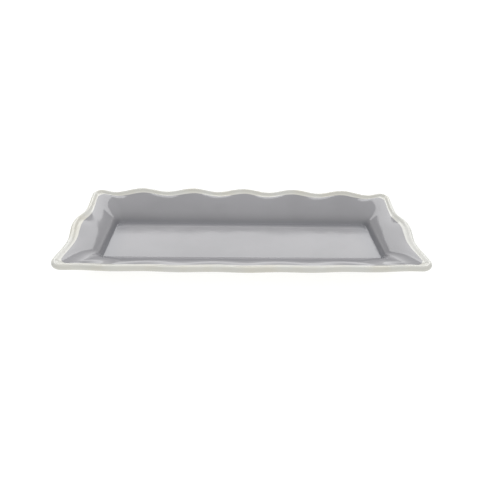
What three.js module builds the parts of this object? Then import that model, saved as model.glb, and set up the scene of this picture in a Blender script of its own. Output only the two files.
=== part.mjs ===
// Rectangular glazed serving tray with a scalloped, rolled lip.
// Millimetres, +Z up. The tray stands on z = 0, X is its long way and Y its short way.
import * as THREE from 'three';

// Centre line of the rolled lip, before the scallops swing it in and out.
// The long sides bow: they are this much nearer the middle line at the corners.
const RIM_HALF_LENGTH = 186.0;
const RIM_HALF_WIDTH = 76.2;
const RIM_CORNER_RADIUS = 8.7;
const LONG_SIDE_BOW = 3.0;
const LIP_HEIGHT = 31.7;
const LIP_RADIUS = 3.3;

// Scallops: five crests on each long side and one on each end, with deeper troughs by the corners
const SCALLOP_PITCH = 64.9;
const SCALLOP_OUT = 2.0;
const SCALLOP_UP = 1.3;
const LAST_TROUGH_IN = 2.5;
const LAST_TROUGH_DOWN = 1.8;
const END_TROUGH = 34.1;
const END_CREST_OUT = 1.8;
const END_CREST_UP = 1.2;
const END_TROUGH_IN = 1.7;
const END_TROUGH_DOWN = 2.0;
const CORNER_OUT = 0.6;
const CORNER_UP = 0.1;

// Well: the flat floor and the cove that joins it to the flared walls
const FLOOR_HEIGHT = 10.4;
const CREASE_HALF_LENGTH = 154.6;
const CREASE_HALF_WIDTH = 36.8;
const CREASE_RADIUS = 7.0;
const COVE_REACH = 1.6;
const COVE_RISE = 0.8;

// Wall: it leaves the lip at an easy slope, steepens lower down, and drops into the crease of the floor.
// Its faces meet the lip at these turns from the way the wall runs; the lip stands proud of the inner face.
const LIP_SLOPE = THREE.MathUtils.degToRad(18);
const INNER_MEET = THREE.MathUtils.degToRad(32);
const OUTER_MEET = THREE.MathUtils.degToRad(64);
const WALL_EASE = 0.335;
const WALL_STEEPEN = 0.41;
const WALL_DROP = 1 - WALL_EASE - WALL_STEEPEN;
const WALL_DROP_POWER = 16;
const WALL_CORNER_RADIUS = 30.0;
const SCALLOP_FADE = 3;
const WALL_STATIONS = [0.97, 0.88, 0.62, 0.3];
const OUTER_STATIONS = [0.4, 0.8];

// Foot: a low ring under the edge of the floor, left unglazed
const FOOT_HEIGHT = 4.0;
const FOOT_HALF_LENGTH = 157.2;
const FOOT_HALF_WIDTH = 39.0;
const FOOT_RADIUS = 11.0;
const FOOT_WIDTH = 6.5;
const FOOT_DRAFT = 0.5;
const FOOT_CHAMFER = 1.2;

// Glaze coat over the clay
const GLAZE = 0.6;

// One quarter of the rim, measured along its centre line from the middle of a long side
const LONG_STRAIGHT = RIM_HALF_LENGTH - RIM_CORNER_RADIUS;
const END_STRAIGHT = RIM_HALF_WIDTH - RIM_CORNER_RADIUS;
const CORNER_ARC = RIM_CORNER_RADIUS * Math.PI / 2;
const QUARTER = LONG_STRAIGHT + CORNER_ARC + END_STRAIGHT;
const CORNER_MIDDLE = LONG_STRAIGHT + CORNER_ARC / 2;
const CORNER_END = LONG_STRAIGHT + CORNER_ARC;
const LONG_SIDE_TROUGH = 2.5 * SCALLOP_PITCH;
const END_SIDE_TROUGH = QUARTER - END_TROUGH;

// Crests and troughs along that quarter; the lip swings smoothly from each to the next
const SWINGS = [
  { at: 0, out: SCALLOP_OUT, up: SCALLOP_UP },
  { at: 0.5 * SCALLOP_PITCH, out: -SCALLOP_OUT, up: -SCALLOP_UP },
  { at: SCALLOP_PITCH, out: SCALLOP_OUT, up: SCALLOP_UP },
  { at: 1.5 * SCALLOP_PITCH, out: -SCALLOP_OUT, up: -SCALLOP_UP },
  { at: 2 * SCALLOP_PITCH, out: SCALLOP_OUT, up: SCALLOP_UP },
  { at: LONG_SIDE_TROUGH, out: -LAST_TROUGH_IN, up: -LAST_TROUGH_DOWN },
  { at: CORNER_MIDDLE, out: CORNER_OUT, up: CORNER_UP },
  { at: END_SIDE_TROUGH, out: -END_TROUGH_IN, up: -END_TROUGH_DOWN },
  { at: QUARTER, out: END_CREST_OUT, up: END_CREST_UP },
];

const { lerp } = THREE.MathUtils;

function spread(from, to, steps) {
  return Array.from({ length: steps }, (_, step) => lerp(from, to, step / steps));
}

// Places round the whole rim: each quarter is the first one, mirrored
function loopPlaces() {
  const forward = [
    ...spread(0, LONG_SIDE_TROUGH, 15),
    ...spread(LONG_SIDE_TROUGH, LONG_STRAIGHT, 2),
    ...spread(LONG_STRAIGHT, CORNER_END, 6),
    ...spread(CORNER_END, END_SIDE_TROUGH, 3),
    ...spread(END_SIDE_TROUGH, QUARTER, 3),
  ];
  const backward = [QUARTER, ...forward.slice(1).reverse()];
  return [
    ...forward.map((along) => ({ along, sideX: 1, sideY: 1 })),
    ...backward.map((along) => ({ along, sideX: 1, sideY: -1 })),
    ...forward.map((along) => ({ along, sideX: -1, sideY: -1 })),
    ...backward.map((along) => ({ along, sideX: -1, sideY: 1 })),
  ];
}

const LOOP = loopPlaces();

function ring(pointAt) {
  return LOOP.map(({ along, sideX, sideY }) => {
    const point = pointAt(along);
    return new THREE.Vector3(sideX * point.x, sideY * point.y, point.z);
  });
}

// A rounded rectangle walked in step with the rim, with the direction that faces out of it
function outline(halfLength, halfWidth, radius) {
  const longStraight = halfLength - radius;
  const endStraight = halfWidth - radius;
  return (along) => {
    if (along < LONG_STRAIGHT) {
      return { x: longStraight * along / LONG_STRAIGHT, y: halfWidth, outX: 0, outY: 1 };
    }
    if (along < CORNER_END) {
      const turn = (along - LONG_STRAIGHT) / RIM_CORNER_RADIUS;
      const outX = Math.sin(turn);
      const outY = Math.cos(turn);
      return { x: longStraight + radius * outX, y: endStraight + radius * outY, outX, outY };
    }
    return { x: halfLength, y: endStraight * (QUARTER - along) / END_STRAIGHT, outX: 1, outY: 0 };
  };
}

function levelRing(halfLength, halfWidth, radius, height) {
  const edge = outline(halfLength, halfWidth, radius);
  return ring((along) => ({ ...edge(along), z: height }));
}

// Swing of the lip at a place along the quarter
function scallop(along) {
  const next = Math.max(1, SWINGS.findIndex(({ at }) => at >= along));
  const before = SWINGS[next - 1];
  const after = SWINGS[next];
  const share = (1 - Math.cos(Math.PI * (along - before.at) / (after.at - before.at))) / 2;
  return {
    out: lerp(before.out, after.out, share),
    up: lerp(before.up, after.up, share),
  };
}

const rimEdge = outline(RIM_HALF_LENGTH, RIM_HALF_WIDTH, RIM_CORNER_RADIUS);
const wallEdge = outline(RIM_HALF_LENGTH, RIM_HALF_WIDTH, WALL_CORNER_RADIUS);
const creaseLine = outline(CREASE_HALF_LENGTH, CREASE_HALF_WIDTH, CREASE_RADIUS);

// An edge line drawn in by the bow of the long sides
function bowed(edge) {
  const bow = LONG_SIDE_BOW * (edge.x / RIM_HALF_LENGTH) ** 2;
  return { ...edge, y: edge.y * (1 - bow / RIM_HALF_WIDTH) };
}

// A point beside the lip's centre line, square to it
function lipPoint(along, inward, up) {
  const line = bowed(rimEdge(along));
  const swing = scallop(along);
  const out = swing.out - inward;
  return {
    x: line.x + line.outX * out,
    y: line.y + line.outY * out,
    z: LIP_HEIGHT + swing.up + up,
  };
}

// Section of the lip, from where the wall's inner face meets it, over the top, to the outer face
function lipSection(radius) {
  return Array.from({ length: LIP_SIDES + 1 }, (_, side) => {
    const angle = lerp(INNER_MEET, 2 * Math.PI - OUTER_MEET, side / LIP_SIDES);
    const alongWall = radius * Math.cos(angle);
    const acrossWall = radius * Math.sin(angle);
    return {
      inward: alongWall * Math.cos(LIP_SLOPE) + acrossWall * Math.sin(LIP_SLOPE),
      up: acrossWall * Math.cos(LIP_SLOPE) - alongWall * Math.sin(LIP_SLOPE),
    };
  });
}

function lipRings(radius) {
  return lipSection(radius)
    .map(({ inward, up }) => ring((along) => lipPoint(along, inward, up)));
}

// Where the inner face would start without scallops and with softer corners
function plainTop(along, lipMeet) {
  const line = bowed(wallEdge(along));
  return {
    x: line.x - line.outX * lipMeet.inward,
    y: line.y - line.outY * lipMeet.inward,
    z: LIP_HEIGHT + lipMeet.up,
  };
}

// The wall's inner face, from the lip (0) down to the crease of the floor (1).
// The scallops of the lip fade out a little way down it.
function wallRing(lipMeet, share) {
  const fall = WALL_EASE * share + WALL_STEEPEN * share ** 2 + WALL_DROP * share ** WALL_DROP_POWER;
  const hold = (1 - share) ** SCALLOP_FADE;
  return ring((along) => {
    const top = lipPoint(along, lipMeet.inward, lipMeet.up);
    const plain = plainTop(along, lipMeet);
    const foot = creaseLine(along);
    return {
      x: lerp(plain.x, foot.x, share) + hold * (top.x - plain.x),
      y: lerp(plain.y, foot.y, share) + hold * (top.y - plain.y),
      z: lerp(plain.z, FLOOR_HEIGHT, fall) + hold * (top.z - plain.z),
    };
  });
}

function between(first, second, share) {
  return first.map((point, index) => point.clone().lerp(second[index], share));
}

// Rings moved into the clay by a depth, square to the surface they span with their neighbours
function sunk(before, middle, after, depth) {
  const count = middle.length;
  return middle.map((point, index) => {
    const along = middle[(index + 1) % count].clone().sub(middle[(index + count - 1) % count]);
    const across = after[index].clone().sub(before[index]);
    const inwards = across.cross(along).normalize();
    return point.clone().addScaledVector(inwards, depth);
  });
}

// Places in the list of rings that go round the section
const LIP_SIDES = 5;
const LIP_START = 2 + WALL_STATIONS.length;
const LIP_END = LIP_START + LIP_SIDES;
const GLAZE_LINE = LIP_END + OUTER_STATIONS.length + 1;

// Surface rings in order: floor edge, cove, wall, lip, outer wall, glaze line
function glazeSurface() {
  const lip = lipRings(LIP_RADIUS);
  const [lipMeet] = lipSection(LIP_RADIUS);
  const cove = levelRing(CREASE_HALF_LENGTH, CREASE_HALF_WIDTH, CREASE_RADIUS, FLOOR_HEIGHT + COVE_RISE);
  const wall = WALL_STATIONS.map((share) => wallRing(lipMeet, share));
  const glazeLine = levelRing(FOOT_HALF_LENGTH + GLAZE, FOOT_HALF_WIDTH + GLAZE, FOOT_RADIUS + GLAZE,
    FOOT_HEIGHT + GLAZE);
  const outer = OUTER_STATIONS.map((share) => between(lip[LIP_SIDES], glazeLine, share));
  return [floorEdge(FLOOR_HEIGHT), cove, ...wall, ...lip, ...outer, glazeLine];
}

// The same rings on the clay, under the glaze
function claySurface(surface) {
  const clay = surface.map((middle, index) => {
    const before = surface[Math.max(index - 1, 0)];
    const after = surface[Math.min(index + 1, surface.length - 1)];
    return sunk(before, middle, after, GLAZE);
  });
  clay[0] = floorEdge(FLOOR_HEIGHT - GLAZE);
  clay.splice(LIP_START, LIP_SIDES + 1, ...lipRings(LIP_RADIUS - GLAZE));
  clay[GLAZE_LINE] = levelRing(FOOT_HALF_LENGTH, FOOT_HALF_WIDTH, FOOT_RADIUS, FOOT_HEIGHT + GLAZE);
  return clay;
}

// Triangles of the band between two rings, facing out when the second ring comes after the first
function band(first, second) {
  return first.flatMap((point, index) => {
    const next = (index + 1) % first.length;
    return [
      [point, first[next], second[next]],
      [point, second[next], second[index]],
    ];
  });
}

// The edge of the flat of the floor
function floorEdge(height) {
  return levelRing(CREASE_HALF_LENGTH - COVE_REACH, CREASE_HALF_WIDTH - COVE_REACH,
    CREASE_RADIUS - COVE_REACH, height);
}

// A level face inside a ring, facing up
function lid(edge) {
  const middle = new THREE.Vector3(0, 0, edge[0].z);
  return edge.map((point, index) => [middle, edge[(index + 1) % edge.length], point]);
}

function turned(triangles) {
  return triangles.map(([first, second, third]) => [first, third, second]);
}

function bands(rings, from, to) {
  const result = [];
  for (let index = from; index < to; index += 1) {
    result.push(...band(rings[index], rings[index + 1]));
  }
  return result;
}

function piece(name, triangles, material) {
  const positions = triangles.flatMap((corners) => corners.flatMap((corner) => corner.toArray()));
  const geometry = new THREE.BufferGeometry();
  geometry.setAttribute('position', new THREE.Float32BufferAttribute(positions, 3));
  geometry.computeVertexNormals();
  const mesh = new THREE.Mesh(geometry, material);
  mesh.name = name;
  return mesh;
}

function finish(color, roughness) {
  return new THREE.MeshStandardMaterial({ color, roughness, metalness: 0 });
}

const bisque = finish('#d8d0c2', 0.85);
const greyGlaze = finish('#bcbbc0', 0.15);
const creamGlaze = finish('#dcdbd4', 0.2);

const surface = glazeSurface();
const clay = claySurface(surface);
const footTopInner = levelRing(FOOT_HALF_LENGTH - FOOT_WIDTH, FOOT_HALF_WIDTH - FOOT_WIDTH,
  FOOT_RADIUS - FOOT_WIDTH, FOOT_HEIGHT + GLAZE);
const baseEdge = levelRing(FOOT_HALF_LENGTH - FOOT_WIDTH, FOOT_HALF_WIDTH - FOOT_WIDTH,
  FOOT_RADIUS - FOOT_WIDTH, FOOT_HEIGHT);

// Fired clay: the floor and the flared walls
function trayBody() {
  return piece('tray_body', [
    ...lid(clay[0]),
    ...bands(clay, 0, LIP_START),
    ...band(clay[LIP_START], clay[LIP_END]),
    ...bands(clay, LIP_END, GLAZE_LINE),
    ...band(clay[GLAZE_LINE], footTopInner),
    ...turned(lid(footTopInner)),
  ], bisque);
}

// Fired clay: the bead rolled along the edge of the walls
function rolledLip() {
  return piece('rolled_lip', [
    ...bands(clay, LIP_START, LIP_END),
    ...turned(band(clay[LIP_START], clay[LIP_END])),
  ], bisque);
}

// Fired clay: the ring that the tray stands on, with its outer edge eased off
function footRing() {
  const side = levelRing(FOOT_HALF_LENGTH - FOOT_DRAFT, FOOT_HALF_WIDTH - FOOT_DRAFT,
    FOOT_RADIUS - FOOT_DRAFT, FOOT_CHAMFER);
  const treadOuter = levelRing(FOOT_HALF_LENGTH - FOOT_DRAFT - FOOT_CHAMFER,
    FOOT_HALF_WIDTH - FOOT_DRAFT - FOOT_CHAMFER, FOOT_RADIUS - FOOT_DRAFT - FOOT_CHAMFER, 0);
  const treadInner = levelRing(FOOT_HALF_LENGTH - FOOT_WIDTH + FOOT_DRAFT,
    FOOT_HALF_WIDTH - FOOT_WIDTH + FOOT_DRAFT, FOOT_RADIUS - FOOT_WIDTH + FOOT_DRAFT, 0);
  return piece('foot_ring', [
    ...band(clay[GLAZE_LINE], side),
    ...band(side, treadOuter),
    ...band(treadOuter, treadInner),
    ...band(treadInner, baseEdge),
    ...turned(band(footTopInner, baseEdge)),
    ...turned(band(clay[GLAZE_LINE], footTopInner)),
  ], bisque);
}

// Glaze coats: each lies between a stretch of the surface and the clay under it
function coat(name, from, to, material) {
  const start = from === 0
    ? [...lid(surface[0]), ...turned(lid(clay[0]))]
    : turned(band(surface[from], clay[from]));
  return piece(name, [
    ...start,
    ...bands(surface, from, to),
    ...band(surface[to], clay[to]),
    ...turned(bands(clay, from, to)),
  ], material);
}

// Glaze on the underside, inside the foot ring
function baseGlaze() {
  return piece('base_glaze', [
    ...lid(footTopInner),
    ...band(footTopInner, baseEdge),
    ...turned(lid(baseEdge)),
  ], creamGlaze);
}

const servingTray = new THREE.Group();
servingTray.add(
  trayBody(),
  rolledLip(),
  footRing(),
  coat('inside_glaze', 0, LIP_START, greyGlaze),
  coat('lip_glaze', LIP_START, LIP_END, creamGlaze),
  coat('outside_glaze', LIP_END, GLAZE_LINE, creamGlaze),
  baseGlaze(),
);

export default servingTray;
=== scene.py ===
"""Glazed serving tray with a scalloped, rolled lip.

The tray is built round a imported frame: every visible coat and ring takes the place of one solid of the
frame. Sizes are in metres, X is the tray's long way, Y its width and Z is up.
"""

import math

import bpy
import numpy as np
from bpy.props import FloatProperty, FloatVectorProperty, IntProperty, PointerProperty
from mathutils import Matrix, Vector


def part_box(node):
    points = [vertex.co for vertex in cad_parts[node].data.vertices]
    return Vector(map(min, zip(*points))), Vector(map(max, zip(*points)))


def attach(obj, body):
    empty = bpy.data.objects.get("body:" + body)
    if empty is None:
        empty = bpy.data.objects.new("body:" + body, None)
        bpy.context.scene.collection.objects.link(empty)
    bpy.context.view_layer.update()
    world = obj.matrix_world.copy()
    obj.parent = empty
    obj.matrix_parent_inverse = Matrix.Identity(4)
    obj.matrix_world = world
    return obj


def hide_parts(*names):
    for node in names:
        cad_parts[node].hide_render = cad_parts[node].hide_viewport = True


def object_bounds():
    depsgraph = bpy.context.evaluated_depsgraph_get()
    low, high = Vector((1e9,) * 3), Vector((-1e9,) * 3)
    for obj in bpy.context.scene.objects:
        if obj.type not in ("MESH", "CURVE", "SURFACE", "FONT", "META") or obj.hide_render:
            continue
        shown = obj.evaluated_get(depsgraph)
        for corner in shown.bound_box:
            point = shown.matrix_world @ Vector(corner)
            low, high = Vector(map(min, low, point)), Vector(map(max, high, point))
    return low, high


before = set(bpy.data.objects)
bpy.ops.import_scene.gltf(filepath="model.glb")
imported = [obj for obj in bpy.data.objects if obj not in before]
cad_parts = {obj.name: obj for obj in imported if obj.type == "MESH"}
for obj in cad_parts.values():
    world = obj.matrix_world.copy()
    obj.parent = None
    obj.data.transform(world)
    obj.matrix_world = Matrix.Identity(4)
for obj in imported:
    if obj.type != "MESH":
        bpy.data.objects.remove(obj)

bl_info = {
    "name": "Scalloped Serving Tray",
    "version": (1, 0, 0),
    "blender": (4, 5, 0),
    "location": "View3D > Sidebar > Tray",
    "description": "Models a glazed rectangular serving tray and the small studio it is shown in",
    "category": "Add Mesh",
}

CAD_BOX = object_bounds()
BODY = "root"

_, FOOT_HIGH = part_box("foot_ring")
BASE_LOW, BASE_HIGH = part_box("base_glaze")
INSIDE_LOW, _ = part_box("inside_glaze")


# ---------------------------------------------------------------- sizes and colours

def length(name, description, default):
    return FloatProperty(name=name, description=description, default=default, min=0.0,
                         subtype="DISTANCE", unit="LENGTH", precision=4)


def angle(name, description, degrees):
    return FloatProperty(name=name, description=description, default=math.radians(degrees),
                         subtype="ANGLE", unit="ROTATION")


def colour(name, description, default):
    return FloatVectorProperty(name=name, description=description, default=default, size=3,
                               min=0.0, max=1.0, subtype="COLOR")


class TraySizes(bpy.types.PropertyGroup):
    """Sizes of the tray"""
    lip_radius: length("Lip radius", "Radius of the bead rolled along the edge", 0.0033)
    lip_height: length("Lip height", "Mean height of the bead's centre line", 0.0317)
    rim_corner: length("Rim corner", "Corner radius of the lip's base line", 0.0087)
    side_bow: length("Side bow", "How far the long sides come in towards the corners", 0.0030)
    scallop_pitch: length("Scallop pitch", "From crest to crest on a long side", 0.0649)
    scallop_out: length("Scallop swing", "How far a crest of a long side swings out", 0.0020)
    scallop_up: length("Scallop rise", "How far a crest of a long side rises", 0.0013)
    last_trough_in: length("Last trough in", "How far the troughs by the corners swing in", 0.0025)
    last_trough_down: length("Last trough dip", "How far the troughs by the corners dip", 0.0018)
    end_trough: length("End trough", "From the middle of an end to its troughs", 0.0341)
    end_crest_out: length("End swing", "How far the crest of an end swings out", 0.0018)
    end_crest_up: length("End rise", "How far the crest of an end rises", 0.0012)
    end_trough_in: length("End trough in", "How far the troughs of an end swing in", 0.0017)
    end_trough_down: length("End trough dip", "How far the troughs of an end dip", 0.0020)
    corner_out: length("Corner swing", "How far the corners swing out", 0.0006)
    corner_up: length("Corner rise", "How far the corners rise", 0.0001)
    crease_half_length: length("Well half length", "Middle of the well to its end crease", 0.1546)
    crease_half_width: length("Well half width", "Middle of the well to its side crease", 0.0368)
    crease_corner: length("Well corner", "Corner radius of the crease round the well", 0.0070)
    cove: length("Cove", "How deep the cove between wall and floor starts", 0.0026)
    wall_corner: length("Wall corner", "Corner radius of the wall just below the lip", 0.0300)
    glaze: length("Glaze", "Thickness of the glaze coats", 0.0006)
    lip_slope: angle("Lip slope", "How steeply the wall leaves the lip", 18.0)
    wall_ease: FloatProperty(name="Wall ease", description="Share of the fall that is even all the way down",
                             default=0.335, min=0.0, max=1.0)
    wall_steepen: FloatProperty(name="Wall steepening", description="Share of the fall that grows lower down",
                                default=0.41, min=0.0, max=1.0)
    scallop_steps: IntProperty(name="Scallop steps", description="Mesh steps along one scallop",
                               default=24, min=6, max=64)


class TrayColours(bpy.types.PropertyGroup):
    """Colours of the glazes and the clay"""
    grey_glaze: colour("Grey glaze", "Glaze inside the tray", (0.245, 0.243, 0.254))
    cream_glaze: colour("Cream glaze", "Glaze on the lip, outside and underneath", (0.530, 0.530, 0.500))
    clay: colour("Bare clay", "Fired clay on the foot ring", (0.600, 0.540, 0.450))
    cream_line: length("Cream line", "How far the cream glaze comes down the inner wall", 0.0032)
    gloss: FloatProperty(name="Glaze roughness", description="Roughness of the glazed surface",
                         default=0.07, min=0.0, max=1.0)


class StudioSettings(bpy.types.PropertyGroup):
    """Camera and light"""
    camera_place: FloatVectorProperty(name="Camera", description="Where the camera stands",
                                      default=(-0.0122, -0.3508, 0.2671), size=3,
                                      subtype="TRANSLATION", unit="LENGTH")
    camera_down: angle("Look down", "How far below level the camera looks", 37.58)
    camera_aside: angle("Look aside", "How far right of straight ahead the camera looks", 3.2)
    camera_roll: angle("Roll", "How far the camera is turned about its own axis", 2.34)
    lens: FloatProperty(name="Lens", description="Focal length on a 36 mm sensor, in millimetres",
                        default=26.64, min=10.0, max=200.0)
    softbox: FloatProperty(name="Softbox", description="Brightness of the softbox behind the tray",
                           default=2.9, min=0.0)
    ambient: FloatProperty(name="Tent", description="Brightness of the white tent all round",
                           default=1.0, min=0.0)


# ---------------------------------------------------------------- shape of the tray

# Mesh steps round a corner, round the bead, down the wall, through the cove and down the outside.
# The bunching powers crowd the wall's and the outside's rings towards the lip.
CORNER_STEPS = 18
LIP_STEPS = 22
WALL_STEPS = 24
COVE_STEPS = 18
OUTSIDE_STEPS = 20
WALL_BUNCHING = 1.5
OUTSIDE_BUNCHING = 1.4

# Where the wall's faces meet the bead, turned from the way the wall runs
INNER_MEET = math.radians(32.0)
OUTER_MEET = math.radians(64.0)

# The wall's last drop to the crease, how fast the scallops fade, and the stretch that the cove takes up
WALL_DROP_POWER = 16
SCALLOP_FADE = 3
COVE_FROM = 0.91
COVE_TO = 1.04

# Softening of the groove on both sides of the bead
EASE_REACH = 4
EASE_PASSES = 12

FLOOR_SHARES = (0.0, 0.3, 0.6, 0.85)
# How far the painted shade along the cove reaches either side of the crease
COVE_SHADE_REACH = 0.005

FOOT_CORNER = 0.011
FOOT_WIDTH = FOOT_HIGH[0] - BASE_HIGH[0]
FOOT_DRAFT = 0.0005
FOOT_ROUND = 0.0012
FOOT_ROUND_STEPS = 7

SMOOTH_ANGLE = math.radians(40)
MERGE_DISTANCE = 1e-6
NO_SIZE = 1e-12


class TrayShape:
    """Points on the tray, worked out for every place round the rim at once."""

    def __init__(self, sizes):
        self.sizes = sizes
        self.half_length = CAD_BOX[1][0] - sizes.lip_radius - sizes.end_crest_out
        self.half_width = CAD_BOX[1][1] - sizes.lip_radius - sizes.scallop_out
        self.long_straight = self.half_length - sizes.rim_corner
        self.end_straight = self.half_width - sizes.rim_corner
        self.corner_arc = sizes.rim_corner * math.pi / 2
        self.quarter = self.long_straight + self.corner_arc + self.end_straight
        self.long_trough = 2.5 * sizes.scallop_pitch
        self.corner_middle = self.long_straight + self.corner_arc / 2
        self.corner_end = self.long_straight + self.corner_arc
        self.end_side_trough = self.quarter - sizes.end_trough
        self.floor_height = INSIDE_LOW[2] + sizes.glaze
        self.places, self.sides = self.loop_places()

    def loop_places(self):
        """Places along one quarter of the rim, and the mirrored quarters that follow it."""
        step = self.sizes.scallop_steps
        stretches = (
            (0.0, self.long_trough, round(2.5 * step)),
            (self.long_trough, self.long_straight, round(0.3 * step)),
            (self.long_straight, self.corner_end, CORNER_STEPS),
            (self.corner_end, self.end_side_trough, round(0.5 * step)),
            (self.end_side_trough, self.quarter, round(0.5 * step)),
        )
        forward = np.concatenate([np.linspace(low, high, count, endpoint=False)
                                  for low, high, count in stretches])
        backward = np.concatenate([[self.quarter], forward[:0:-1]])
        places = np.concatenate([forward, backward, forward, backward])
        signs = np.repeat([(1, 1), (1, -1), (-1, -1), (-1, 1)], len(forward), axis=0)
        return places, np.column_stack([signs, np.ones(len(places))])

    def outline(self, half_length, half_width, corner):
        """A rounded rectangle walked in step with the rim, and the directions that face out of it."""
        places = self.places
        turn = np.clip((places - self.long_straight) / self.sizes.rim_corner, 0, math.pi / 2)
        out = np.column_stack([np.sin(turn), np.cos(turn), np.zeros_like(turn)])
        long_share = np.clip(places / self.long_straight, 0, 1)
        end_share = np.clip((self.quarter - places) / self.end_straight, 0, 1)
        points = np.column_stack([(half_length - corner) * long_share,
                                  (half_width - corner) * end_share,
                                  np.zeros_like(turn)])
        return (points + corner * out) * self.sides, out * self.sides * (1, 1, 0)

    def level_ring(self, half_length, half_width, corner, height):
        points, _ = self.outline(half_length, half_width, corner)
        points[:, 2] = height
        return points

    def swings(self):
        """Crests and troughs along a quarter of the rim: place, swing out and rise."""
        sizes = self.sizes
        pitch = sizes.scallop_pitch
        crest = (sizes.scallop_out, sizes.scallop_up)
        trough = (-sizes.scallop_out, -sizes.scallop_up)
        return (
            (0.0, *crest),
            (0.5 * pitch, *trough),
            (pitch, *crest),
            (1.5 * pitch, *trough),
            (2 * pitch, *crest),
            (self.long_trough, -sizes.last_trough_in, -sizes.last_trough_down),
            (self.corner_middle, sizes.corner_out, sizes.corner_up),
            (self.end_side_trough, -sizes.end_trough_in, -sizes.end_trough_down),
            (self.quarter, sizes.end_crest_out, sizes.end_crest_up),
        )

    def rim_line(self, corner, inset=0.0):
        """The rim's base line, drawn in by the bow of the long sides, and the directions that face out."""
        points, out = self.outline(self.half_length, self.half_width, corner)
        bow = self.sizes.side_bow * (points[:, 0] / self.half_length) ** 2
        points[:, 1] *= 1 - bow / self.half_width
        return points - out * inset, out

    def ridge(self):
        """The bead's centre line, swung out and up by the scallops."""
        swings = np.array(self.swings())
        after = np.clip(np.searchsorted(swings[:, 0], self.places), 1, len(swings) - 1)
        first, second = swings[after - 1], swings[after]
        share = (self.places - first[:, 0]) / (second[:, 0] - first[:, 0])
        share = (1 - np.cos(math.pi * share)) / 2
        swing = first + (second - first) * share[:, None]
        points, out = self.rim_line(self.sizes.rim_corner)
        points += out * swing[:, 1:2]
        points[:, 2] = self.sizes.lip_height + swing[:, 2]
        return points

    def crease(self):
        sizes = self.sizes
        return self.level_ring(sizes.crease_half_length, sizes.crease_half_width,
                               sizes.crease_corner, self.floor_height)

    def lip_rings(self, radius, steps):
        """Rings round the bead, from the wall's inner face over the top to its outer face."""
        ridge = self.ridge()
        along = unit(np.roll(ridge, -1, 0) - np.roll(ridge, 1, 0))
        outwards = unit(np.cross((0, 0, 1), along))
        upwards = np.cross(along, outwards)
        slope = self.sizes.lip_slope
        along_wall = -outwards * math.cos(slope) - upwards * math.sin(slope)
        across_wall = -outwards * math.sin(slope) + upwards * math.cos(slope)
        turns = np.linspace(INNER_MEET, 2 * math.pi - OUTER_MEET, steps + 1)
        return [ridge + radius * (math.cos(turn) * along_wall + math.sin(turn) * across_wall)
                for turn in turns]

    def plain_top(self):
        """Where the wall's inner face would start without scallops and with softer corners."""
        sizes = self.sizes
        turn = INNER_MEET - sizes.lip_slope
        ring, _ = self.rim_line(sizes.wall_corner, sizes.lip_radius * math.cos(turn))
        ring[:, 2] = sizes.lip_height + sizes.lip_radius * math.sin(turn)
        return ring

    def wall_ring(self, top, share):
        """A ring on the inner face of the wall, which drops steeply into a cove on the level floor.

        The scallops of the lip fade out a little way down it.
        """
        sizes = self.sizes
        plain = self.plain_top()
        crease = self.crease()
        drop = 1 - sizes.wall_ease - sizes.wall_steepen
        fall = sizes.wall_ease * share + sizes.wall_steepen * share ** 2 + drop * share ** WALL_DROP_POWER
        hold = max(0.0, 1 - share) ** SCALLOP_FADE
        ring = plain + (crease - plain) * share + hold * (top - plain)
        gap = (plain[:, 2] - self.floor_height) * (1 - fall) + hold * (top - plain)[:, 2]
        lift = np.clip(1 - np.abs(gap) / sizes.cove, 0, 1) ** 2 * sizes.cove / 4
        ring[:, 2] = self.floor_height + np.maximum(gap, 0) + lift
        return ring

    def surface(self):
        """All rings of the glazed surface, in order, and where the lip begins and ends among them."""
        sizes = self.sizes
        lip = self.lip_rings(sizes.lip_radius, LIP_STEPS)
        wall = COVE_FROM * np.linspace(0, 1, WALL_STEPS, endpoint=False) ** WALL_BUNCHING
        shares = np.concatenate([wall, np.linspace(COVE_FROM, COVE_TO, COVE_STEPS)])[::-1]
        inside = [self.wall_ring(lip[0], share) for share in shares]
        floor = [centred(inside[0], share) for share in FLOOR_SHARES]
        self.crease_index = len(floor) + int(np.argmin(np.abs(shares - 1)))
        line = self.level_ring(FOOT_HIGH[0] + sizes.glaze, FOOT_HIGH[1] + sizes.glaze,
                               FOOT_CORNER + sizes.glaze, FOOT_HIGH[2])
        shares = np.linspace(0, 1, OUTSIDE_STEPS) ** OUTSIDE_BUNCHING
        outside = [lip[-1] + (line - lip[-1]) * share for share in shares]
        rings = floor + inside[:-1] + lip + outside[1:]
        lip_start = len(floor) + len(inside) - 1
        lip_end = lip_start + LIP_STEPS
        for meet in (lip_start, lip_end):
            ease(rings, meet - EASE_REACH, meet + EASE_REACH, EASE_PASSES)
        return rings, lip_start, lip_end

    def foot_ring_line(self, height):
        """Where the glaze underneath meets the inner face of the foot ring."""
        return self.level_ring(BASE_HIGH[0], BASE_HIGH[1], FOOT_CORNER - FOOT_WIDTH, height)

    def foot_rings(self):
        """Round the section of the foot ring, with both edges of the tread rounded off."""
        top = FOOT_HIGH[2]
        rings = [self.level_ring(FOOT_HIGH[0], FOOT_HIGH[1], FOOT_CORNER, top)]
        for inset, centre_inset, radius in ((FOOT_DRAFT, FOOT_DRAFT + FOOT_ROUND, FOOT_ROUND),
                                            (FOOT_WIDTH, FOOT_WIDTH - FOOT_ROUND, -FOOT_ROUND)):
            turns = np.linspace(0, math.pi / 2, FOOT_ROUND_STEPS)
            turns = turns if radius > 0 else turns[::-1]
            for turn in turns:
                away = centre_inset - radius * math.cos(turn)
                height = FOOT_ROUND * (1 - math.sin(turn))
                rings.append(self.level_ring(FOOT_HIGH[0] - away, FOOT_HIGH[1] - away,
                                             FOOT_CORNER - away, height))
        rings.append(self.foot_ring_line(BASE_LOW[2]))
        rings.append(self.foot_ring_line(top))
        rings.append(rings[0])
        return rings

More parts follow.
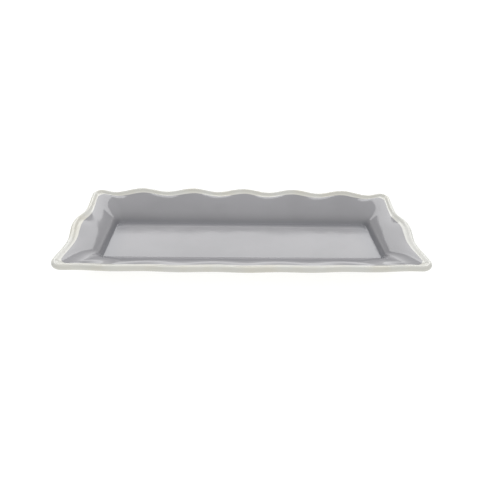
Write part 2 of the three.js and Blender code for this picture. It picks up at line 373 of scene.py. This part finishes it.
    def glaze_marks(self, rings, lip_start):
        """How far each inside point is from the lip, and how much painted shade darkens it along the cove's
        crease.
        """
        inside = np.stack(rings[:lip_start + 1])
        steps = np.linalg.norm(np.diff(inside, axis=0), axis=2)
        from_lip = np.concatenate([np.cumsum(steps[::-1], axis=0)[::-1], np.zeros((1, len(self.places)))])
        from_crease = from_lip - from_lip[self.crease_index]
        return from_lip, np.exp(-(from_crease / COVE_SHADE_REACH) ** 2)

    def clay_surface(self, rings, lip_start, lip_end):
        """The same rings on the clay, under the glaze."""
        depth = self.sizes.glaze
        clay = sunk(rings, depth)
        floor_rings = len(FLOOR_SHARES)
        for index in range(floor_rings + 1):
            clay[index] = rings[index] - (0, 0, depth)
        clay[lip_start:lip_end + 1] = self.lip_rings(self.sizes.lip_radius - depth, LIP_STEPS)
        clay[-1] = self.level_ring(FOOT_HIGH[0], FOOT_HIGH[1], FOOT_CORNER, FOOT_HIGH[2])
        return clay


def unit(vectors):
    return vectors / np.linalg.norm(vectors, axis=1)[:, None]


def centred(ring, share):
    """A ring drawn in towards the middle of the tray, at its own height."""
    return ring * (share, share, 1)


def ease(rings, first, last, passes):
    """Softens the section between two rings, as glaze does where it fills a groove."""
    for _ in range(passes):
        eased = [(rings[index - 1] + 2 * rings[index] + rings[index + 1]) / 4
                 for index in range(first, last + 1)]
        rings[first:last + 1] = eased


def sunk(rings, depth):
    """Rings moved into the clay, square to the surface they span with their neighbours."""
    result = []
    for index, ring in enumerate(rings):
        before = rings[max(index - 1, 0)]
        after = rings[min(index + 1, len(rings) - 1)]
        along = np.roll(ring, -1, 0) - np.roll(ring, 1, 0)
        inwards = np.cross(after - before, along)
        size = np.linalg.norm(inwards, axis=1)[:, None]
        inwards = np.where(size > NO_SIZE, inwards / np.maximum(size, NO_SIZE), (0, 0, -1))
        result.append(ring + inwards * depth)
    return result


# ---------------------------------------------------------------- mesh work

def select_only(piece):
    bpy.ops.object.select_all(action="DESELECT")
    piece.select_set(True)
    bpy.context.view_layer.objects.active = piece


def swept_piece(name, rings, painted=None):
    """A closed piece: a circle extruded once for each further ring, then every ring moved to its place.

    The section either starts and ends in the middle of the tray, or comes back to its first ring.
    painted holds values to store on the points, by name, one for each ring and place.
    """
    count = len(rings[0])
    bpy.ops.object.select_all(action="DESELECT")
    bpy.ops.mesh.primitive_circle_add(vertices=count, radius=1.0, fill_type="NOTHING")
    piece = bpy.context.object
    piece.name = name
    piece.data.name = name
    bpy.ops.object.mode_set(mode="EDIT")
    bpy.ops.mesh.select_all(action="SELECT")
    for _ in rings[1:]:
        bpy.ops.mesh.extrude_region_move(TRANSFORM_OT_translate={"value": (0, 0, 1)})
    bpy.ops.object.mode_set(mode="OBJECT")
    tube = np.empty(len(piece.data.vertices) * 3, dtype=np.float32)
    piece.data.vertices.foreach_get("co", tube)
    tube = tube.reshape(-1, 3)
    level = np.rint(tube[:, 2]).astype(int)
    turn = np.arctan2(tube[:, 0], tube[:, 1]) / (2 * math.pi)
    place = np.rint(turn * count).astype(int) % count
    shaped = np.stack(rings)[level, place]
    piece.data.vertices.foreach_set("co", shaped.astype(np.float32).ravel())
    for label, values in (painted or {}).items():
        layer = piece.data.attributes.new(label, "FLOAT", "POINT")
        layer.data.foreach_set("value", values[level, place].astype(np.float32))
    bpy.ops.object.mode_set(mode="EDIT")
    bpy.ops.mesh.select_all(action="SELECT")
    bpy.ops.mesh.remove_doubles(threshold=MERGE_DISTANCE)
    bpy.ops.mesh.normals_make_consistent(inside=False)
    bpy.ops.object.mode_set(mode="OBJECT")
    select_only(piece)
    bpy.ops.object.shade_smooth_by_angle(angle=SMOOTH_ANGLE)
    return piece


def coat(name, surface, clay, first, last, painted=None):
    """A coat of glaze between a stretch of the surface and the clay under it."""
    outer = surface[first:last + 1]
    inner = clay[first:last + 1][::-1]
    closing = [] if first == 0 else [outer[0]]
    return swept_piece(name, outer + inner + closing, painted)


def finish_piece(piece, node, material):
    piece.data.materials.clear()
    piece.data.materials.append(material)
    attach(piece, BODY)
    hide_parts(node)


def tray_surfaces():
    """The tray's shape, its glazed surface, the clay under it, and where the lip begins and ends."""
    shape = TrayShape(bpy.context.scene.tray_sizes)
    surface, lip_start, lip_end = shape.surface()
    clay = shape.clay_surface(surface, lip_start, lip_end)
    return shape, surface, clay, lip_start, lip_end


# ---------------------------------------------------------------- materials

class Number:
    """A value in a material, so that shader maths reads as arithmetic."""

    def __init__(self, graph, socket):
        self.graph = graph
        self.socket = socket

    def combine(self, operation, first, second):
        return self.graph.number("ShaderNodeMath", {"operation": operation}, {0: first, 1: second})

    def __add__(self, other):
        return self.combine("ADD", self, other)

    def __sub__(self, other):
        return self.combine("SUBTRACT", self, other)

    def __rsub__(self, other):
        return self.combine("SUBTRACT", other, self)

    def __mul__(self, other):
        return self.combine("MULTIPLY", self, other)


class Graph:
    """The node tree of one material, or of the world."""

    def __init__(self, owner):
        owner.use_nodes = True
        self.owner = owner
        self.tree = owner.node_tree
        self.tree.nodes.clear()

    def add(self, kind, settings=None, inputs=None):
        node = self.tree.nodes.new(kind)
        for key, value in (settings or {}).items():
            setattr(node, key, value)
        for key, value in (inputs or {}).items():
            self.feed(node.inputs[key], value)
        return node

    def feed(self, socket, value):
        if isinstance(value, Number):
            value = value.socket
        if isinstance(value, bpy.types.NodeSocket):
            self.tree.links.new(value, socket)
        else:
            socket.default_value = value

    def number(self, kind, settings=None, inputs=None, output=0):
        return Number(self, self.add(kind, settings, inputs).outputs[output])

    def place(self):
        return self.add("ShaderNodeTexCoord").outputs["Object"]

    def noise(self, scale, detail, roughness=0.5):
        """Cloudy noise from 0 to 1, with scale in cells per metre."""
        return self.number("ShaderNodeTexNoise", {"noise_dimensions": "3D"},
                           {"Vector": self.place(), "Scale": scale, "Detail": detail,
                            "Roughness": roughness})

    def attribute(self, name):
        return self.number("ShaderNodeAttribute", {"attribute_name": name}, None, "Fac")

    def smooth(self, value, low, high):
        """0 where value is under low, 1 where it is over high, and a smooth step between them."""
        return self.number("ShaderNodeMapRange", {"interpolation_type": "SMOOTHSTEP"},
                           {"Value": value, "From Min": low, "From Max": high})

    def blend(self, share, first, second):
        node = self.add("ShaderNodeMix", {"data_type": "RGBA"})
        self.feed(node.inputs[0], share)
        self.feed(node.inputs[6], first)
        self.feed(node.inputs[7], second)
        return node.outputs[2]

    def bump(self, height, distance, normal=None):
        inputs = {"Height": height, "Strength": 1.0, "Distance": distance}
        if normal is not None:
            inputs["Normal"] = normal
        return self.add("ShaderNodeBump", None, inputs).outputs["Normal"]

    def surface(self, **inputs):
        """Ends the material in one shader. Input names are written with underscores for spaces."""
        named = {key.replace("_", " "): value for key, value in inputs.items()}
        shader = self.add("ShaderNodeBsdfPrincipled", None, named)
        output = self.add("ShaderNodeOutputMaterial")
        self.tree.links.new(shader.outputs[0], output.inputs["Surface"])
        return self.owner


# Glaze relief: soft waves under a much finer skin
WAVE_SCALE = 38.0
WAVE_HEIGHT = 0.00007
SKIN_SCALE = 420.0
SKIN_HEIGHT = 0.000008

# The cream line's slow wander, its fine fray, and how softly it ends above and below
LINE_WANDER = 0.0014
LINE_FRAY = 0.0005
LINE_ABOVE = 0.0004
LINE_BELOW = 0.0005

GLAZE_IOR = 1.5
CLAY_IOR = 1.45
WARM_TINT = (1.0, 0.975, 0.92)
# Painted shade along the cove: the darker, bluer tint and how much of it is mixed into the grey
COVE_SHADE_TINT = (0.84, 0.87, 0.91)
COVE_SHADE_SHARE = 0.5


def shade(rgb, factor):
    """A colour made darker or lighter, as RGBA."""
    return (*(min(1.0, channel * factor) for channel in rgb), 1.0)


def glaze_bump(graph):
    """Glaze settles in soft waves, with a much finer skin on top."""
    waves = graph.bump(graph.noise(WAVE_SCALE, 1.0), WAVE_HEIGHT)
    return graph.bump(graph.noise(SKIN_SCALE, 2.0), SKIN_HEIGHT, waves)


def cream_tone(graph, colours):
    """Cream glaze, a little warmer in clouds."""
    clouds = graph.smooth(graph.noise(30.0, 3.0), 0.35, 0.68)
    warm = (*np.multiply(colours.cream_glaze, WARM_TINT), 1.0)
    return graph.blend(clouds, shade(colours.cream_glaze, 1.02), warm)


def cream_glaze_material(colours):
    graph = Graph(bpy.data.materials.new("cream_glaze"))
    return graph.surface(Base_Color=cream_tone(graph, colours), Roughness=colours.gloss + 0.03,
                         IOR=GLAZE_IOR, Normal=glaze_bump(graph))


def grey_glaze_material(colours):
    """Grey glaze that thins over the wall, is painted darker and bluer along the cove as shade in the crease,
    and meets the cream in a soft, uneven line.
    """
    graph = Graph(bpy.data.materials.new("grey_glaze"))
    clouds = graph.smooth(graph.noise(22.0, 3.0), 0.3, 0.7)
    grey = graph.blend(clouds, shade(colours.grey_glaze, 0.965), shade(colours.grey_glaze, 1.035))
    # Painted shade: the grey turns darker and bluer along the cove between wall and floor, where shade falls
    cove_shade_mix = graph.smooth(graph.attribute("cove_shade"), 0.0, 1.0) * COVE_SHADE_SHARE
    grey = graph.blend(cove_shade_mix, grey, (*np.multiply(colours.grey_glaze, COVE_SHADE_TINT), 1.0))
    wander = (graph.noise(60.0, 2.0) - 0.5) * LINE_WANDER
    wander = wander + (graph.noise(700.0, 2.0) - 0.5) * LINE_FRAY
    line = graph.attribute("from_lip") + wander
    edge = graph.smooth(line, colours.cream_line - LINE_ABOVE, colours.cream_line + LINE_BELOW)
    tone = graph.blend(edge, cream_tone(graph, colours), grey)
    return graph.surface(Base_Color=tone, Roughness=colours.gloss, IOR=GLAZE_IOR,
                         Normal=glaze_bump(graph))


def clay_material(colours, name="bare_clay"):
    """Fired clay: dry, gritty, with fine dark specks."""
    graph = Graph(bpy.data.materials.new(name))
    clouds = graph.smooth(graph.noise(70.0, 4.0), 0.3, 0.7)
    tone = graph.blend(clouds, shade(colours.clay, 0.92), shade(colours.clay, 1.06))
    specks = graph.smooth(graph.noise(1500.0, 1.0), 0.70, 0.78) * 0.6
    tone = graph.blend(specks, tone, shade(colours.clay, 0.45))
    grit = graph.bump(graph.noise(1400.0, 3.0), 0.00006)
    return graph.surface(Base_Color=tone, Roughness=0.82, IOR=CLAY_IOR, Normal=grit)


def sweep_table_material():
    """Pale table, lit a little from below so that shadows stay soft."""
    graph = Graph(bpy.data.materials.new("pale_table"))
    tone = graph.blend(graph.noise(2.0, 2.0), (0.24, 0.24, 0.236, 1.0), (0.26, 0.26, 0.256, 1.0))
    return graph.surface(Base_Color=tone, Roughness=0.75, IOR=1.3,
                         Emission_Color=(1.0, 1.0, 0.99, 1.0), Emission_Strength=0.84)


# ---------------------------------------------------------------- pieces

class TRAY_OT_clay(bpy.types.Operator):
    """Model the fired clay under the glaze: the body and the rolled lip"""
    bl_idname = "serving_tray.clay"
    bl_label = "Clay body and lip"

    def execute(self, context):
        shape, _, clay, lip_start, lip_end = tray_surfaces()
        foot_inner = shape.foot_ring_line(FOOT_HIGH[2])
        underside = [foot_inner] + [centred(foot_inner, share) for share in FLOOR_SHARES[::-1]]
        material = clay_material(context.scene.tray_colours, "hidden_clay")
        body = swept_piece("clay_body", clay[:lip_start + 1] + clay[lip_end:] + underside)
        finish_piece(body, "tray_body", material)
        lip = swept_piece("clay_lip", clay[lip_start:lip_end + 1] + [clay[lip_start]])
        finish_piece(lip, "rolled_lip", material)
        return {"FINISHED"}


class TRAY_OT_foot(bpy.types.Operator):
    """Model the bare clay ring that the tray stands on"""
    bl_idname = "serving_tray.foot"
    bl_label = "Foot ring"

    def execute(self, context):
        shape = TrayShape(context.scene.tray_sizes)
        foot = swept_piece("bare_foot_ring", shape.foot_rings())
        finish_piece(foot, "foot_ring", clay_material(context.scene.tray_colours))
        return {"FINISHED"}


class TRAY_OT_coats(bpy.types.Operator):
    """Model the coats of glaze inside, over the lip, outside and underneath"""
    bl_idname = "serving_tray.coats"
    bl_label = "Glaze coats"

    def execute(self, context):
        colours = context.scene.tray_colours
        shape, surface, clay, lip_start, lip_end = tray_surfaces()
        cream = cream_glaze_material(colours)
        # The cove values darken the grey glaze along the crease as painted shade
        from_lip, cove_shade = shape.glaze_marks(surface, lip_start)
        painted = {"from_lip": np.concatenate([from_lip, from_lip[::-1]]),
                   "cove_shade": np.concatenate([cove_shade, cove_shade[::-1]])}
        inside = coat("inside_coat", surface, clay, 0, lip_start, painted)
        finish_piece(inside, "inside_glaze", grey_glaze_material(colours))
        lip = coat("lip_coat", surface, clay, lip_start, lip_end)
        finish_piece(lip, "lip_glaze", cream)
        outside = coat("outside_coat", surface, clay, lip_end, len(surface) - 1)
        finish_piece(outside, "outside_glaze", cream)
        top = shape.foot_ring_line(FOOT_HIGH[2])
        bottom = shape.foot_ring_line(BASE_LOW[2])
        rings = [centred(top, share) for share in FLOOR_SHARES] + [top, bottom]
        rings += [centred(bottom, share) for share in FLOOR_SHARES[::-1]]
        base = swept_piece("base_coat", rings)
        finish_piece(base, "base_glaze", cream)
        return {"FINISHED"}


# Strength of the tent by direction, and the softbox behind the tray
TENT_LEVEL = 0.85
TENT_SIDE_LOSS = 0.75
TENT_SIDE_TILT = 0.12
TENT_BACK_LOSS = 0.22
TENT_TOP_GAIN = 0.4
TENT_GLOW = 1.5
TENT_GLOW_TOP = 0.5
TENT_GLOW_BACK = (0.2, 0.6)

SOFTBOX_DISTANCE = 1.3
SOFTBOX_HEIGHT = math.radians(45.9)
SOFTBOX_WIDTH = 2.1
SOFTBOX_DEPTH = 0.512

TABLE_RADIUS = 7.0
SENSOR_WIDTH = 36.0
FARTHEST_SEEN = 50.0


class TRAY_OT_stage(bpy.types.Operator):
    """Set the pale table, the soft light and the camera"""
    bl_idname = "serving_tray.stage"
    bl_label = "Table, light and camera"

    def execute(self, context):
        studio = context.scene.tray_studio
        self.table()
        self.tent(context.scene, studio)
        self.softbox(studio)
        self.camera(context.scene, studio)
        return {"FINISHED"}

    def table(self):
        bpy.ops.object.select_all(action="DESELECT")
        bpy.ops.mesh.primitive_circle_add(vertices=96, radius=TABLE_RADIUS, fill_type="NGON")
        table = bpy.context.object
        table.name = "table"
        table.data.materials.append(sweep_table_material())

    def tent(self, scene, studio):
        """A white tent, brightest overhead and in front, dimmer to both sides and most to the left.

        It glows low down behind. The backdrop that it shows is plain white all the same.
        """
        graph = Graph(bpy.data.worlds.new("white_tent"))
        direction = graph.add("ShaderNodeTexCoord").outputs["Generated"]
        ways = graph.add("ShaderNodeSeparateXYZ", None, {0: direction}).outputs
        side, back, up = (Number(graph, way) for way in ways)
        low = graph.smooth(up, TENT_GLOW_TOP, 0.0) * graph.smooth(back, *TENT_GLOW_BACK)
        strength = TENT_LEVEL - side * side * TENT_SIDE_LOSS + side * TENT_SIDE_TILT - back * TENT_BACK_LOSS
        strength = (strength + up * TENT_TOP_GAIN + low * TENT_GLOW) * studio.ambient
        backdrop = Number(graph, graph.add("ShaderNodeLightPath").outputs["Is Camera Ray"])
        strength = strength + (1.0 - strength) * backdrop
        shader = graph.add("ShaderNodeBackground", None,
                           {"Color": (1.0, 1.0, 1.0, 1.0), "Strength": strength})
        output = graph.add("ShaderNodeOutputWorld")
        graph.tree.links.new(shader.outputs[0], output.inputs["Surface"])
        scene.world = graph.owner
        scene.view_settings.view_transform = "Standard"

    def softbox(self, studio):
        """A wide softbox behind the tray, high enough to shine in the floor of the well."""
        data = bpy.data.lights.new("softbox", "AREA")
        data.shape = "RECTANGLE"
        data.size = SOFTBOX_WIDTH
        data.size_y = SOFTBOX_DEPTH
        data.energy = studio.softbox * math.pi * SOFTBOX_WIDTH * SOFTBOX_DEPTH
        light = bpy.data.objects.new("softbox", data)
        bpy.context.scene.collection.objects.link(light)
        light.location = (0.0, SOFTBOX_DISTANCE * math.cos(SOFTBOX_HEIGHT),
                          SOFTBOX_DISTANCE * math.sin(SOFTBOX_HEIGHT))
        light.rotation_euler = (-light.location).to_track_quat("-Z", "Y").to_euler()
        light.visible_camera = False

    def camera(self, scene, studio):
        data = bpy.data.cameras.new("camera")
        data.sensor_width = SENSOR_WIDTH
        data.lens = studio.lens
        data.clip_end = FARTHEST_SEEN
        camera = bpy.data.objects.new("camera", data)
        scene.collection.objects.link(camera)
        turn = (Matrix.Rotation(-studio.camera_aside, 3, "Z")
                @ Matrix.Rotation(math.pi / 2 - studio.camera_down, 3, "X")
                @ Matrix.Rotation(studio.camera_roll, 3, "Z"))
        camera.location = studio.camera_place
        camera.rotation_euler = turn.to_euler()
        scene.camera = camera


OPERATORS = (TRAY_OT_clay, TRAY_OT_foot, TRAY_OT_coats, TRAY_OT_stage)


class TRAY_PT_panel(bpy.types.Panel):
    """Sizes, colours and steps of the serving tray"""
    bl_idname = "TRAY_PT_panel"
    bl_label = "Serving Tray"
    bl_space_type = "VIEW_3D"
    bl_region_type = "UI"
    bl_category = "Tray"

    def draw(self, context):
        scene = context.scene
        for group in (scene.tray_sizes, scene.tray_colours, scene.tray_studio):
            box = self.layout.box()
            for key in group.__annotations__:
                box.prop(group, key)
        for operator in OPERATORS:
            self.layout.operator(operator.bl_idname)


CLASSES = (TraySizes, TrayColours, StudioSettings, *OPERATORS, TRAY_PT_panel)


def register():
    for cls in CLASSES:
        bpy.utils.register_class(cls)
    bpy.types.Scene.tray_sizes = PointerProperty(type=TraySizes)
    bpy.types.Scene.tray_colours = PointerProperty(type=TrayColours)
    bpy.types.Scene.tray_studio = PointerProperty(type=StudioSettings)


def unregister():
    del bpy.types.Scene.tray_studio
    del bpy.types.Scene.tray_colours
    del bpy.types.Scene.tray_sizes
    for cls in reversed(CLASSES):
        bpy.utils.unregister_class(cls)


def plain(box):
    return [[float(value) for value in corner] for corner in box]


def main():
    register()
    bpy.ops.serving_tray.clay()
    bpy.ops.serving_tray.foot()
    bpy.ops.serving_tray.coats()
    bpy.ops.serving_tray.stage()


if __name__ == "__main__":
    main()
